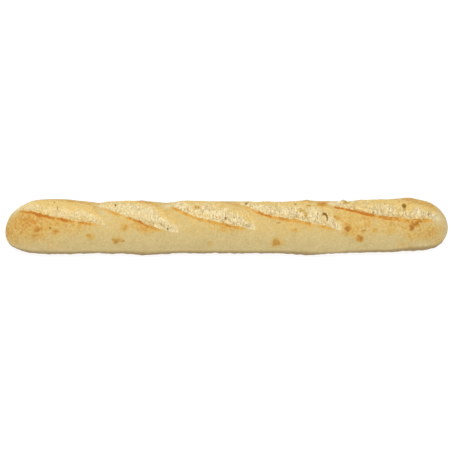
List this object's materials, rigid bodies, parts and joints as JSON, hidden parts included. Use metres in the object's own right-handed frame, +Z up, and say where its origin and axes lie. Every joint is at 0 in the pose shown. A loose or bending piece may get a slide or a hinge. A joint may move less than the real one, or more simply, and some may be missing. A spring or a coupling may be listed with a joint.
{
  "type": "baguette",
  "caption": "Long pale crusty bread stick with blunt rounded ends, a flat base and slanting slashes that opened along the top; lies on its base.",
  "frame": {"origin": "middle of the bounding box's underside, on the surface the loaf lies on", "axes": "+X along the loaf, +Z up, and the slashes run down towards -Y as they go to +X"},
  "size_m": [0.55, 0.0786, 0.0601],
  "materials": {
    "crust": "matt, dry, thinly browned bread crust, with pale open crumb in the slashes and orange-brown edges"
  },
  "bodies": {
    "root": {"loaf": "crust"}
  },
  "joints": []
}
